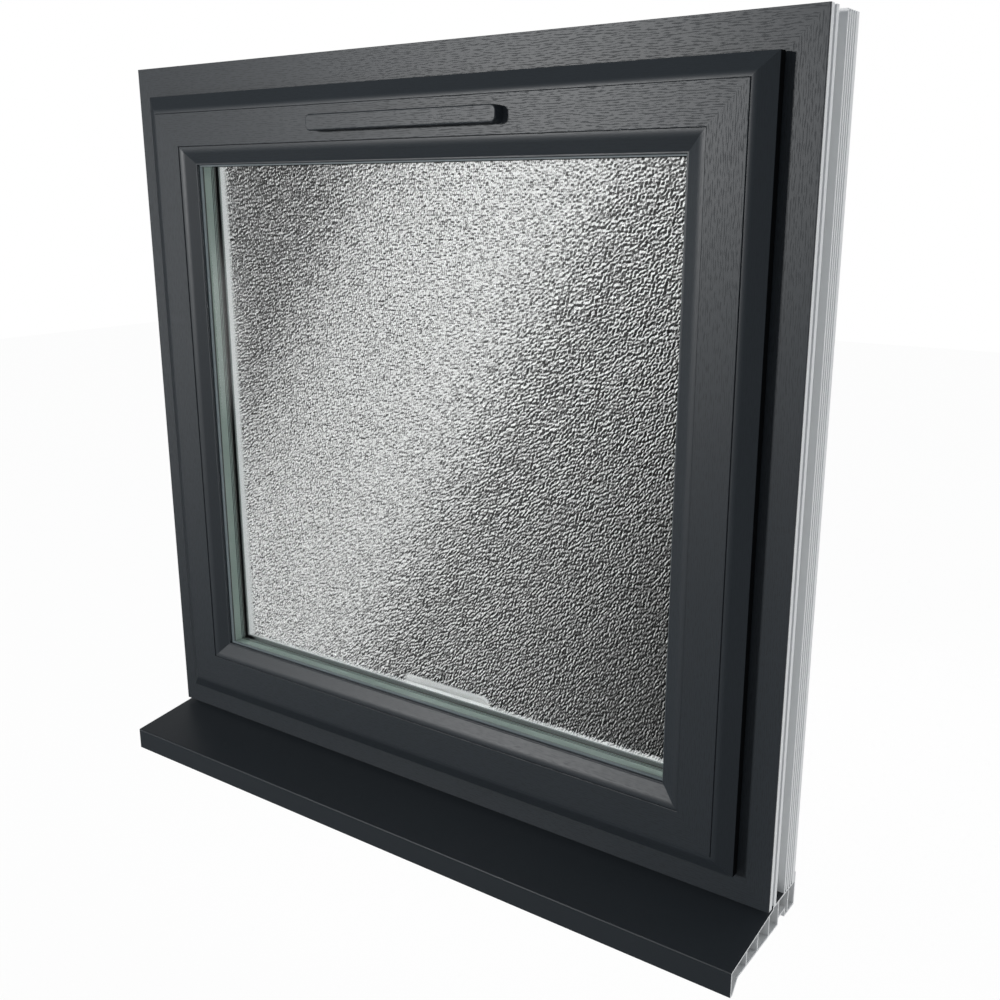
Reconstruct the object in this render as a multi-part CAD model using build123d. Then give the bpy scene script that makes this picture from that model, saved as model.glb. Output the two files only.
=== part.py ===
from build123d import *
import math
import os

# Top-hung casement window: a fixed outer frame, an outward-opening sash and a cill under both.
# Millimetres. X runs along the width, +Y is the room side, +Z is up.
# The origin lies on the cill's bedding face, under the front of the frame, half way along the width.

# Overall sizes
frame_width = 883.0
frame_height = 850.0
frame_depth = 70.0

# Outer frame section. "In" is the distance from the frame's outer edge towards the middle of the window.
front_leg_in = 43.0
rear_leg_in = 64.0
rear_leg_thick = 21.0
side_channel_from = 20.0
side_channel_to = 41.0
side_channel_deep = 10.0
side_groove_deep = 1.4
front_groove_from = 8.5
front_groove_wide = 5.2
rear_groove_from = 44.3
rear_groove_wide = 2.4
rear_groove_pitch = 5.3
rear_groove_count = 4
wall = 2.6

# Sash section. "Proud" is how far a face stands in front of the frame's front face.
lip_in = 35.0
lip_proud = 13.0
face_proud = 24.0
outer_quirk_in = 56.0
inner_quirk_in = 94.5
quirk_wide = 1.5
quirk_deep = 1.9
mould_drop = 1.1
outer_mould_round = 3.0
inner_mould_round = 4.0
sight_in = 116.0
mould_end_proud = 15.2
rim_wide = 1.8
rim_corner = 0.6
sash_depth = 70.0
seal_gap = 3.0
hardware_gap = 12.0
hardware_groove_wide = 16.0
hardware_groove_deep = 3.2
glazing_cover = 19.0
front_chamber_behind = 4.0
lip_seal_start = 1.5
lip_seal_end = 0.5
room_seal_inset = 1.0

# Double-glazed unit
pane_thick = 4.0
cavity_wide = 20.0
pane_clearance = 5.0
outer_gasket_thick = 3.0
inner_gasket_thick = 2.5
glass_set_proud = 8.5
edge_seal_wide = 7.0
spacer_wide = 6.2
gasket_cover = 9.5
gasket_show = 1.8

# Glazing bead
bead_flat = 10.0
bead_low_in = 105.0
bead_foot_wide = 3.0
bead_foot_deep = 2.4
fit_gap = 0.3

# Cill
cill_thick = 30.0
cill_projection = 87.0
cill_nose_top_drop = 15.5
cill_nose_high = 27.5
cill_nose_foot = 5.0
cill_nose_wide = 16.0
cill_nose_round = 1.6
cill_step_back = 12.4
cill_step_high = 2.8
cill_upstand_high = 9.5
cill_upstand_thick = 2.2
cill_notch_from = 28.8
cill_notch_to = 46.0
cill_notch_high = 8.0
cill_wall = 2.0
cill_webs = (-51.5, -24.3, 3.9)
cill_rear_web = 54.0

# Trickle vent
vent_offset = 6.0
canopy_long = 253.0
canopy_high = 17.0
canopy_proud = 12.5
canopy_round = 6.0
canopy_edge_round = 1.2
canopy_wall = 2.0
canopy_opening_count = 6
canopy_opening_bar = 4.0
vent_slot_long = 224.0
vent_slot_high = 11.0
closer_long = 282.0
closer_high = 21.0
closer_deep = 9.0
closer_round = 4.0
closer_drop = 1.0
flap_deep = 4.0
flap_end_margin = 13.0
flap_edge_margin = 3.5
flap_round = 3.0
flap_edge_round = 1.5

# Handle
handle_base_long = 104.0
handle_base_high = 29.0
handle_base_deep = 12.0
handle_base_edge_round = 3.0
handle_hub_offset = 28.0
handle_hub_round = 14.5
handle_tip_offset = -93.0
handle_tip_round = 9.5
handle_neck_round = 9.0
handle_neck_long = 20.0
handle_grip_deep = 13.0
handle_grip_edge_round = 4.0

# Hardware in the gap between sash and frame
stay_long = 300.0
stay_wide = 18.0
stay_plate = 2.5
stay_top_gap = 6.0
stay_arm_wide = 12.0
stay_bar_wide = 15.0
stay_bar_share = 0.8
stay_upper_arm_from = 0.05
stay_upper_arm_to = 0.55
stay_lower_arm_from = 0.225
stay_lower_arm_to = 0.675
lock_rail_long = 520.0
lock_rail_thick = 3.0
lock_pin_round = 4.0
lock_pin_reach = 6.5
lock_pin_offset = 190.0
keep_long = 46.0
keep_wide = 20.0
keep_high = 4.0
keep_lug = 4.0
block_long = 100.0

os.makedirs("parts", exist_ok=True)

# Places worked out from the sizes above
frame_bottom = cill_thick
frame_middle = frame_bottom + frame_height / 2
sash_back_in = front_leg_in + hardware_gap
rear_leg_front = frame_depth - rear_leg_thick
sash_rear = sash_depth - face_proud
glass_front = -glass_set_proud
glass_rear = glass_front + 2 * pane_thick + cavity_wide
rebate_front = glass_front - outer_gasket_thick
bead_front = glass_rear + inner_gasket_thick
rebate_in = sight_in - glazing_cover
pane_in = rebate_in + pane_clearance
mitre_spare = 10.0
mitre_reach = sight_in + 2 * mitre_spare
cut_through = 200.0
cut_spare = 1.0


def place(solid, node):
    export_step(solid, "parts/" + node + ".step")


def member(face, long, across, turn):
    # One mitred member. The face is drawn as (depth, in); turn is its angle about the window's middle.
    bar = extrude(Plane.YZ.offset(-long / 2) * face, long)
    bar = Pos(0, 0, -across / 2) * bar
    low = -across / 2 - mitre_spare
    high = -across / 2 + mitre_reach
    near = long / 2 + mitre_spare
    far = long / 2 - mitre_reach
    corners = [(-near, low), (near, low), (far, high), (-far, high)]
    wedge = extrude(Plane.XZ * make_face(Polyline(corners, close=True)), cut_through, both=True)
    return Pos(0, 0, frame_middle) * (Rot(0, turn, 0) * (bar & wedge))


def ring(start_in, end_in, front, rear):
    # A closed rectangular strip around the window, such as a gasket.
    middle = Pos(0, (front + rear) / 2, frame_middle)
    outer = middle * Box(frame_width - 2 * start_in, rear - front, frame_height - 2 * start_in)
    inner = middle * Box(frame_width - 2 * end_in, rear - front + 2 * cut_spare, frame_height - 2 * end_in)
    return outer - inner


def sheet(edge_in, front, rear):
    middle = Pos(0, (front + rear) / 2, frame_middle)
    return middle * Box(frame_width - 2 * edge_in, rear - front, frame_height - 2 * edge_in)


def block(depth_from, depth_to, in_from, in_to):
    # A rectangle in a member's section.
    centre = Pos((depth_from + depth_to) / 2, (in_from + in_to) / 2)
    return centre * Rectangle(depth_to - depth_from, in_to - in_from)


def set_of_four(face, names):
    solids = []
    turns = (0, 180, 90, -90)
    for name, turn in zip(names, turns):
        if turn in (0, 180):
            solids.append((name, member(face, frame_width, frame_height, turn)))
        else:
            solids.append((name, member(face, frame_height, frame_width, turn)))
    return solids


def rounding(before, corner, after, reach):
    # The arc that rounds a corner, starting and ending at the same distance from it.
    back = (Vector(*before) - Vector(*corner)).normalized()
    onward = (Vector(*after) - Vector(*corner)).normalized()
    half_angle = math.radians(back.get_angle(onward) / 2)
    bulge = (back + onward).normalized() * (reach * (1 - math.sin(half_angle)) / math.cos(half_angle))
    middle = Vector(*corner) + bulge
    return ThreePointArc(Vector(*corner) + back * reach, middle, Vector(*corner) + onward * reach)


# Outer frame: front leg, channelled and grooved outer side, taller leg on the room side
frame_line = Polyline(
    (0, 0),
    (0, front_leg_in),
    (rear_leg_front, front_leg_in),
    (rear_leg_front, rear_leg_in),
    (frame_depth, rear_leg_in),
    (frame_depth, 0),
    close=True,
)
frame_face = make_face(frame_line)
frame_face -= block(side_channel_from, side_channel_to, -cut_spare, side_channel_deep)
front_groove_to = front_groove_from + front_groove_wide
frame_face -= block(front_groove_from, front_groove_to, -cut_spare, side_groove_deep)
for number in range(rear_groove_count):
    groove_from = rear_groove_from + number * rear_groove_pitch
    frame_face -= block(groove_from, groove_from + rear_groove_wide, -cut_spare, side_groove_deep)
chamber_low = side_groove_deep + wall
front_chamber_to = side_channel_from - wall
frame_face -= block(wall, front_chamber_to, chamber_low, front_leg_in - wall)
main_chamber_to = rear_leg_front - wall
frame_face -= block(side_channel_from, main_chamber_to, side_channel_deep + wall, front_leg_in - wall)
frame_face -= block(rear_leg_front, frame_depth - wall, chamber_low, rear_leg_in - wall)
frame_names = ("frame_bottom_rail", "frame_head", "frame_left_jamb", "frame_right_jamb")
for name, solid in set_of_four(frame_face, frame_names):
    place(solid, name)

# Sash: overlapping lip, sloped outer moulding rolling over at its top, flat face between two quirks,
# and an inner moulding that rolls over and slopes down to a narrow rim beside the glass
field = -face_proud
mould_top = -(face_proud - mould_drop)
quirk_bottom = -(face_proud - quirk_deep)
lip_front = -lip_proud
lip_rear = -seal_gap
mould_end = -mould_end_proud
outer_mould_end_in = outer_quirk_in - quirk_wide / 2
inner_mould_start_in = inner_quirk_in + quirk_wide / 2
rim_start = (mould_end, sight_in - rim_wide)
outer_corner = (mould_top, outer_mould_end_in - outer_mould_round)
outer_end = (mould_top, outer_mould_end_in)
inner_corner = (mould_top, inner_mould_start_in + inner_mould_round)
inner_start = (mould_top, inner_mould_start_in)
outer_roll = rounding((lip_front, lip_in), outer_corner, outer_end, outer_mould_round)
inner_roll = rounding(inner_start, inner_corner, rim_start, inner_mould_round)
sash_edges = [
    Line((lip_rear, sash_back_in), (lip_rear, lip_in)),
    Line((lip_rear, lip_in), (lip_front, lip_in)),
    Line((lip_front, lip_in), outer_roll @ 0),
    outer_roll,
    Line(outer_roll @ 1, (quirk_bottom, outer_quirk_in)),
    Line((quirk_bottom, outer_quirk_in), (field, outer_quirk_in + quirk_wide / 2)),
    Line((field, outer_quirk_in + quirk_wide / 2), (field, inner_quirk_in - quirk_wide / 2)),
    Line((field, inner_quirk_in - quirk_wide / 2), (quirk_bottom, inner_quirk_in)),
    Line((quirk_bottom, inner_quirk_in), inner_roll @ 0),
    inner_roll,
    Line(inner_roll @ 1, rim_start),
    Line(rim_start, (mould_end, sight_in - rim_corner)),
    Line((mould_end, sight_in - rim_corner), (mould_end + rim_corner, sight_in)),
    Line((mould_end + rim_corner, sight_in), (rebate_front, sight_in)),
    Line((rebate_front, sight_in), (rebate_front, rebate_in)),
    Line((rebate_front, rebate_in), (sash_rear, rebate_in)),
    Line((sash_rear, rebate_in), (sash_rear, sash_back_in)),
    Line((sash_rear, sash_back_in), (lip_rear, sash_back_in)),
]
sash_face = make_face(sash_edges)
groove_middle = (lip_rear + sash_rear) / 2
groove_front = groove_middle - hardware_groove_wide / 2
groove_rear = groove_middle + hardware_groove_wide / 2
groove_bottom = sash_back_in + hardware_groove_deep
sash_face -= block(groove_front, groove_rear, sash_back_in - cut_spare, groove_bottom)
bead_foot_front = sash_rear - 3 * bead_foot_wide
foot_slot_front = bead_foot_front - fit_gap
foot_slot_rear = bead_foot_front + bead_foot_wide + fit_gap
foot_slot_bottom = rebate_in - bead_foot_deep - fit_gap
sash_face -= block(foot_slot_front, foot_slot_rear, foot_slot_bottom, rebate_in + cut_spare)
chamber_start_in = groove_bottom + wall
chamber_end_in = foot_slot_bottom - wall
chamber_split = rebate_front + front_chamber_behind
front_chamber_front = quirk_bottom + wall
sash_face -= block(front_chamber_front, chamber_split, outer_quirk_in + wall, chamber_end_in)
sash_face -= block(chamber_split + wall, sash_rear - wall, chamber_start_in, chamber_end_in)
sash_names = ("sash_bottom_rail", "sash_top_rail", "sash_left_stile", "sash_right_stile")
vent_in = (outer_quirk_in + inner_quirk_in) / 2
vent_height = frame_bottom + frame_height - vent_in
for name, solid in set_of_four(sash_face, sash_names):
    if name == "sash_top_rail":
        slot = extrude(Plane.XZ * SlotOverall(vent_slot_long, vent_slot_high), cut_through, both=True)
        solid = solid - Pos(vent_offset, 0, vent_height) * slot
    place(solid, name)

# Cill: sloping weathered top, level seat for the frame, drip nose, upstand behind the frame,
# and hollow chambers open at both ends
nose_front = -cill_projection
nose_top = cill_thick - cill_nose_top_drop
nose_bottom = nose_top - cill_nose_high
seat = cill_thick
upstand_front = frame_depth + fit_gap
cill_rear = upstand_front + cill_upstand_thick
slope_top = seat - cill_step_high
cill_points = [
    (nose_front, nose_bottom),
    (nose_front, nose_top),
    (cill_step_back, slope_top),
    (cill_step_back, seat),
    (upstand_front, seat),
    (upstand_front, seat + cill_upstand_high),
    (cill_rear, seat + cill_upstand_high),
    (cill_rear, 0),
    (cill_notch_to, 0),
    (cill_notch_to, cill_notch_high),
    (cill_notch_from, cill_notch_high),
    (cill_notch_from, 0),
    (nose_front + cill_nose_wide, 0),
    (nose_front + cill_nose_foot, nose_bottom),
]
cill_face = make_face(Polyline(cill_points, close=True))
nose_corner = cill_face.vertices().group_by(Axis.X)[0].sort_by(Axis.Y)[-1]
cill_face = fillet(nose_corner, cill_nose_round)


def slope_at(depth):
    # Height of the sloping top at a depth.
    rise = (slope_top - nose_top) / (cill_step_back - nose_front)
    return nose_top + rise * (depth - nose_front)


half = cill_wall / 2
nose_web = cill_webs[0]
nose_chamber = Polyline(
    (nose_front + cill_wall, nose_bottom + cill_wall),
    (nose_front + cill_nose_foot - half, nose_bottom + cill_wall),
    (nose_front + cill_nose_wide - half, cill_wall),
    (nose_web - half, cill_wall),
    (nose_web - half, slope_at(nose_web - half) - cill_wall),
    (nose_front + cill_wall, slope_at(nose_front + cill_wall) - cill_wall),
    close=True,
)
cill_face -= make_face(nose_chamber)
for left, right in zip(cill_webs[:-1], cill_webs[1:]):
    chamber = Polyline(
        (left + half, cill_wall),
        (right - half, cill_wall),
        (right - half, slope_at(right - half) - cill_wall),
        (left + half, slope_at(left + half) - cill_wall),
        close=True,
    )
    cill_face -= make_face(chamber)
step_web = cill_webs[-1]
notch_web = cill_notch_from - cill_wall
step_chamber = Polyline(
    (step_web + half, cill_wall),
    (notch_web, cill_wall),
    (notch_web, seat - cill_wall),
    (cill_step_back + cill_wall, seat - cill_wall),
    (cill_step_back + cill_wall, slope_top - cill_wall),
    (step_web + half, slope_at(step_web + half) - cill_wall),
    close=True,
)
cill_face -= make_face(step_chamber)
over_notch = cill_notch_high + cill_wall
notch_chamber = Polyline(
    (cill_notch_from, over_notch),
    (cill_notch_to + cill_wall, over_notch),
    (cill_notch_to + cill_wall, cill_wall),
    (cill_rear_web - half, cill_wall),
    (cill_rear_web - half, seat - cill_wall),
    (cill_notch_from, seat - cill_wall),
    close=True,
)
cill_face -= make_face(notch_chamber)
cill_face -= block(cill_rear_web + half, cill_rear - cill_wall, cill_wall, seat - cill_wall)
place(extrude(Plane.YZ.offset(-frame_width / 2) * cill_face, frame_width), "cill")

# Double-glazed unit: clear outer pane, obscure inner pane, spacer and edge seal between them
place(sheet(pane_in, glass_front, glass_front + pane_thick), "outer_pane")
place(sheet(pane_in, glass_rear - pane_thick, glass_rear), "inner_pane")
cavity_front = glass_front + pane_thick
cavity_rear = cavity_front + cavity_wide
spacer_in = pane_in + edge_seal_wide
place(ring(pane_in, spacer_in, cavity_front, cavity_rear), "edge_seal")
place(ring(spacer_in, spacer_in + spacer_wide, cavity_front, cavity_rear), "spacer_frame")

# Gaskets on both sides of the glass, and the two weather seals around the sash
gasket_end_in = sight_in + gasket_show
gasket_start_in = sight_in - gasket_cover
place(ring(gasket_start_in, gasket_end_in, rebate_front, glass_front), "outer_glazing_gasket")
place(ring(gasket_start_in, gasket_end_in, glass_rear, bead_front), "inner_glazing_gasket")
lip_seal = ring(lip_in + lip_seal_start, front_leg_in - lip_seal_end, lip_rear, 0)
place(lip_seal, "outer_weather_seal")
room_seal = ring(sash_back_in + room_seal_inset, rear_leg_in - room_seal_inset, sash_rear, rear_leg_front)
place(room_seal, "inner_weather_seal")

# Glazing beads on the room side, each with a foot in the sash's slot
bead_line = Polyline(
    (bead_front, rebate_in),
    (bead_front, sight_in),
    (bead_front + bead_flat, sight_in),
    (sash_rear, bead_low_in),
    (sash_rear, rebate_in),
    (bead_foot_front + bead_foot_wide, rebate_in),
    (bead_foot_front + bead_foot_wide, rebate_in - bead_foot_deep),
    (bead_foot_front, rebate_in - bead_foot_deep),
    (bead_foot_front, rebate_in),
    close=True,
)
bead_names = ("bottom_bead", "top_bead", "left_bead", "right_bead")
for name, solid in set_of_four(make_face(bead_line), bead_names):
    place(solid, name)

# Setting blocks that carry the glass on the bottom rail
block_place = (frame_width / 2 - pane_in) / 2
block_height = frame_bottom + rebate_in + pane_clearance / 2
for side, name in ((-1, "left_setting_block"), (1, "right_setting_block")):
    centre = Pos(side * block_place, (glass_front + glass_rear) / 2, block_height)
    place(centre * Box(block_long, glass_rear - glass_front, pane_clearance), name)

# Trickle vent: hood outside with air openings in its underside, closer inside
hood_face = RectangleRounded(canopy_long, canopy_high, canopy_round)
hood = extrude(Plane.XZ * hood_face, canopy_proud)
pocket_long = canopy_long - 2 * canopy_wall
pocket_high = canopy_high - 2 * canopy_wall
pocket_face = RectangleRounded(pocket_long, pocket_high, canopy_round - canopy_wall)
hood -= extrude(Plane.XZ * pocket_face, canopy_proud - canopy_wall)
opening_pitch = (pocket_long - 2 * canopy_round) / canopy_opening_count
for number in range(canopy_opening_count):
    across = (number - (canopy_opening_count - 1) / 2) * opening_pitch
    spot = Pos(across, -canopy_proud / 2 + canopy_wall / 2, -canopy_high / 2)
    hood -= spot * Box(opening_pitch - canopy_opening_bar, canopy_proud - 3 * canopy_wall, 3 * canopy_wall)
hood = fillet(hood.faces().sort_by(Axis.Y)[0].outer_wire().edges(), canopy_edge_round)
place(Pos(vent_offset, field, vent_height) * hood, "vent_canopy")
closer_face = RectangleRounded(closer_long, closer_high, closer_round)
closer = extrude(Plane.XZ * closer_face, -closer_deep)
slot_face = SlotOverall(vent_slot_long, vent_slot_high)
closer -= extrude(Plane.XZ * slot_face, -closer_deep / 2)
flap_long = closer_long - 2 * flap_end_margin
flap_high = closer_high - 2 * flap_edge_margin
flap_face = RectangleRounded(flap_long, flap_high, flap_round)
flap = extrude(Plane.XZ.offset(-closer_deep) * flap_face, -flap_deep)
flap = fillet(flap.faces().sort_by(Axis.Y)[-1].outer_wire().edges(), flap_edge_round)
closer_place = Pos(vent_offset, sash_rear, vent_height - closer_drop)
place(closer_place * closer, "vent_closer")
place(closer_place * flap, "vent_flap")

# Handle on the room side of the bottom rail
handle_height = frame_bottom + (rear_leg_in + rebate_in) / 2
base_face = SlotOverall(handle_base_long, handle_base_high)
base = extrude(Plane.XZ * base_face, -handle_base_deep)
base = fillet(base.faces().sort_by(Axis.Y)[-1].outer_wire().edges(), handle_base_edge_round)
place(Pos(0, sash_rear, handle_height) * base, "handle_base")
neck_face = Pos(handle_hub_offset, 0) * Circle(handle_neck_round)
neck = extrude(Plane.XZ.offset(-handle_base_deep) * neck_face, -handle_neck_long)
grip_start = handle_base_deep + handle_neck_long
hub_spot = Pos(handle_hub_offset, 0) * Circle(handle_hub_round)
tip_spot = Pos(handle_tip_offset, 0) * Circle(handle_tip_round)
grip_face = make_hull(hub_spot.edges() + tip_spot.edges())
grip = extrude(Plane.XZ.offset(-grip_start) * grip_face, -handle_grip_deep)
grip = fillet(grip.faces().sort_by(Axis.Y)[-1].outer_wire().edges(), handle_grip_edge_round)
place(Pos(0, sash_rear, handle_height) * (neck + grip), "handle_lever")

# Friction stays in the side gaps: track on the jamb, two arms, bar on the sash stile
gap_middle = groove_middle
stay_top = frame_bottom + frame_height - sash_back_in - stay_top_gap
frame_side = frame_width / 2 - front_leg_in
arm_thick = (hardware_gap - 2 * stay_plate) / 2


def stay_piece(side, from_frame, thick, wide, share_from, share_to):
    # A flat bar of the stay. The shares say where it starts and ends along the stay, from the top down.
    across = side * (frame_side - from_frame - thick / 2)
    height = stay_top - stay_long * (share_from + share_to) / 2
    return Pos(across, gap_middle, height) * Box(thick, wide, stay_long * (share_to - share_from))


for side, name in ((-1, "left_friction_stay"), (1, "right_friction_stay")):
    stay = stay_piece(side, 0, stay_plate, stay_wide, 0, 1)
    stay += stay_piece(side, hardware_gap - stay_plate, stay_plate, stay_bar_wide, 0, stay_bar_share)
    upper_share = (stay_upper_arm_from, stay_upper_arm_to)
    stay += stay_piece(side, stay_plate, arm_thick, stay_arm_wide, *upper_share)
    lower_share = (stay_lower_arm_from, stay_lower_arm_to)
    stay += stay_piece(side, stay_plate + arm_thick, arm_thick, stay_arm_wide, *lower_share)
    place(stay, name)

# Locking rail in the bottom rail's groove, with two pins, and a keep for each pin on the frame
rail_face_height = frame_bottom + sash_back_in
rail_spot = Pos(0, gap_middle, rail_face_height + hardware_groove_deep - lock_rail_thick / 2)
rail = rail_spot * Box(lock_rail_long, hardware_groove_wide - 2 * fit_gap, lock_rail_thick)
for side in (-1, 1):
    pin = Cylinder(lock_pin_round, lock_pin_reach + hardware_groove_deep)
    pin_height = rail_face_height + (hardware_groove_deep - lock_pin_reach) / 2
    rail += Pos(side * lock_pin_offset, gap_middle, pin_height) * pin
place(rail, "lock_rail")
for side, name in ((-1, "left_keep"), (1, "right_keep")):
    keep_spot = Pos(side * lock_pin_offset, gap_middle, frame_bottom + front_leg_in)
    keep = keep_spot * (Pos(0, 0, keep_high / 2) * Box(keep_long, keep_wide, keep_high))
    lug_spot = Pos(0, (keep_wide - keep_lug) / 2, keep_high + keep_lug / 2)
    keep += keep_spot * (lug_spot * Box(keep_long, keep_lug, keep_lug))
    place(keep, name)
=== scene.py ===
import math
import bmesh
import bpy
from mathutils import Matrix, Vector
from mathutils.geometry import tessellate_polygon


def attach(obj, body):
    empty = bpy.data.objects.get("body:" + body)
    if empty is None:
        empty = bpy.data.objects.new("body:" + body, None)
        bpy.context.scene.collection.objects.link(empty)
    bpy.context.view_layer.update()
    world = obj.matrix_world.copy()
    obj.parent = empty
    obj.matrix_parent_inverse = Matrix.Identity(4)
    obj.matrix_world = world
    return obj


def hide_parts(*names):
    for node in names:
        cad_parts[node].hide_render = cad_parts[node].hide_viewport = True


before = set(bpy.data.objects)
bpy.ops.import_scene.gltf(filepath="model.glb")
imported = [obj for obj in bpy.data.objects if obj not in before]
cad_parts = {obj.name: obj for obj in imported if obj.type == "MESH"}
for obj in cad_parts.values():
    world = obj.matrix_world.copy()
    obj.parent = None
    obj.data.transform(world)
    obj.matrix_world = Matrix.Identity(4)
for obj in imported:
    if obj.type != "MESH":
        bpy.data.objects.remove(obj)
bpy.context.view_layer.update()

MM = 0.001

# The window's sizes in millimetres. X runs along its width, Y from the weather side to the room, Z up.
# In an outline, depth is Y, and in is the distance from the frame's outer edge towards its middle.
WIDTH, HEIGHT, DEPTH = 883.0, 850.0, 70.0
FRAME_BOTTOM = 30.0
MIDDLE_Z = FRAME_BOTTOM + HEIGHT / 2
SASH_REAR = 46.0
GLASS_FRONT, GLASS_REAR, PANE = -8.5, 19.5, 4.0
REBATE_FRONT, REBATE_IN = -11.5, 97.0
SIGHT_IN = 116.0

SIDES = ("bottom", "top", "left", "right")
LEVEL_SIDES = ("bottom", "top")


# Node helpers
class Nodes:
    """Short calls for building a shader."""

    def __init__(self, tree):
        self.tree = tree

    def add(self, kind, links=None, **values):
        node = self.tree.nodes.new(kind)
        for key, value in values.items():
            setattr(node, key, value)
        for key, value in (links or {}).items():
            socket = node.inputs[key]
            if isinstance(value, bpy.types.NodeSocket):
                self.tree.links.new(value, socket)
            else:
                socket.default_value = value
        return node

    def place(self):
        return self.add("ShaderNodeTexCoord").outputs["Object"]

    def axes(self, vector):
        return self.add("ShaderNodeSeparateXYZ", {0: vector}).outputs

    def join(self, x, y):
        return self.add("ShaderNodeCombineXYZ", {0: x, 1: y}).outputs[0]

    def math(self, operation, a, b=0.0, c=0.0, clamp=False):
        node = self.add("ShaderNodeMath", {0: a, 1: b, 2: c}, operation=operation, use_clamp=clamp)
        return node.outputs[0]

    def vector(self, operation, a, b):
        output = "Value" if operation == "DOT_PRODUCT" else "Vector"
        return self.add("ShaderNodeVectorMath", {0: a, 1: b}, operation=operation).outputs[output]

    def map_range(self, value, low, high, low_result, high_result, kind="LINEAR"):
        links = {0: value, 1: low, 2: high, 3: low_result, 4: high_result}
        return self.add("ShaderNodeMapRange", links, interpolation_type=kind).outputs[0]

    def noise(self, vector, scale, detail=2.0, rough=0.5, distortion=0.0):
        links = {"Vector": vector, "Scale": scale, "Detail": detail, "Roughness": rough,
                 "Distortion": distortion}
        return self.add("ShaderNodeTexNoise", links).outputs["Fac"]

    def stretch(self, vector, scale):
        return self.add("ShaderNodeMapping", {"Vector": vector, "Scale": scale}).outputs[0]

    def ramp(self, value, stops):
        """A scale of greys. stops are (place, grey), in order."""
        node = self.add("ShaderNodeValToRGB", {"Fac": value})
        elements = node.color_ramp.elements
        while len(elements) < len(stops):
            elements.new(0.5)
        for element, (place, grey) in zip(elements, stops):
            element.position = place
            element.color = (grey, grey, grey, 1.0)
        return node.outputs["Color"]

    def mix(self, share, a, b):
        links = {0: share}
        for key, colour in ((6, a), (7, b)):
            links[key] = colour if isinstance(colour, bpy.types.NodeSocket) else (*colour, 1.0)
        return self.add("ShaderNodeMix", links, data_type="RGBA").outputs[2]

    def looked_at(self):
        """1 for what the camera, a gloss or the glass sees, 0 for light on its way about the room."""
        path = self.add("ShaderNodeLightPath").outputs
        seen = self.math("MAXIMUM", path["Is Camera Ray"], path["Is Glossy Ray"])
        return self.math("MAXIMUM", seen, path["Is Transmission Ray"])


def new_material(name, view_colour):
    material = bpy.data.materials.new(name)
    material.use_nodes = True
    material.diffuse_color = (*view_colour, 1.0)
    tree = material.node_tree
    tree.nodes.clear()
    return material, Nodes(tree)


def finish_material(n, shader):
    n.add("ShaderNodeOutputMaterial", {"Surface": shader.outputs[0]})


def principled(n, **values):
    links = {key.replace("_", " "): value for key, value in values.items()}
    return n.add("ShaderNodeBsdfPrincipled", links)


# Woodgrain foil: broken thin lines along the member, pressed in and darker. Lengths in metres.
FOIL_TONES = ((0.0265, 0.0325, 0.0385), (0.0295, 0.0360, 0.0425))
FOIL_ROUGH = 0.45
FOIL_CLOUDS = 9.0
GRAIN_COLOUR = (0.014, 0.017, 0.020)
GRAIN_ALONG, GRAIN_ACROSS = 110.0, 680.0
GRAIN_WRAP = 0.45
GRAIN_DRIFT, DRIFT_SCALE = 0.003, 30.0
GRAIN_BREAK = 0.6
GRAIN_PITCH, GRAIN_SWAY, GRAIN_LINE = 0.0021, 10.0, 0.12
SWAY_STRETCH, PATCH_STRETCH = (0.5, 0.2, 1.0), (0.25, 0.05, 1.0)
GRAIN_LEVEL, GRAIN_PATCH, GRAIN_EDGE = 0.455, 0.04, 8.0
GRAIN_DARK, GRAIN_ROUGH = 0.44, 0.12
GRAIN_DEEP, GRAIN_STRENGTH = 0.00003, 0.5


def grain_mask(n, place, along):
    """1 in a pore of the grain and 0 between them. The grain runs along x or z."""
    x, y, z = n.axes(place)
    run, other = (x, z) if along == "x" else (z, x)
    across = n.math("MULTIPLY_ADD", y, GRAIN_WRAP, other)
    drift = n.noise(n.stretch(place, (DRIFT_SCALE,) * 3), 1.0, 1.0)
    across = n.math("MULTIPLY_ADD", drift, GRAIN_DRIFT, across)
    cell = n.join(n.math("MULTIPLY", run, GRAIN_ALONG), n.math("MULTIPLY", across, GRAIN_ACROSS))
    streak = n.noise(cell, 1.0, 1.0, GRAIN_BREAK)
    sway = n.noise(n.stretch(cell, SWAY_STRETCH), 1.0, 1.0)
    turn = n.math("MULTIPLY_ADD", across, 2 * math.pi / GRAIN_PITCH, n.math("MULTIPLY", sway, GRAIN_SWAY))
    streak = n.math("MULTIPLY_ADD", n.math("SINE", turn), GRAIN_LINE, streak)
    patch = n.noise(n.stretch(cell, PATCH_STRETCH), 1.0, 1.0)
    level = n.math("MULTIPLY_ADD", patch, GRAIN_PATCH, GRAIN_LEVEL)
    return n.math("MULTIPLY", n.math("SUBTRACT", level, streak), GRAIN_EDGE, clamp=True)


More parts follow.
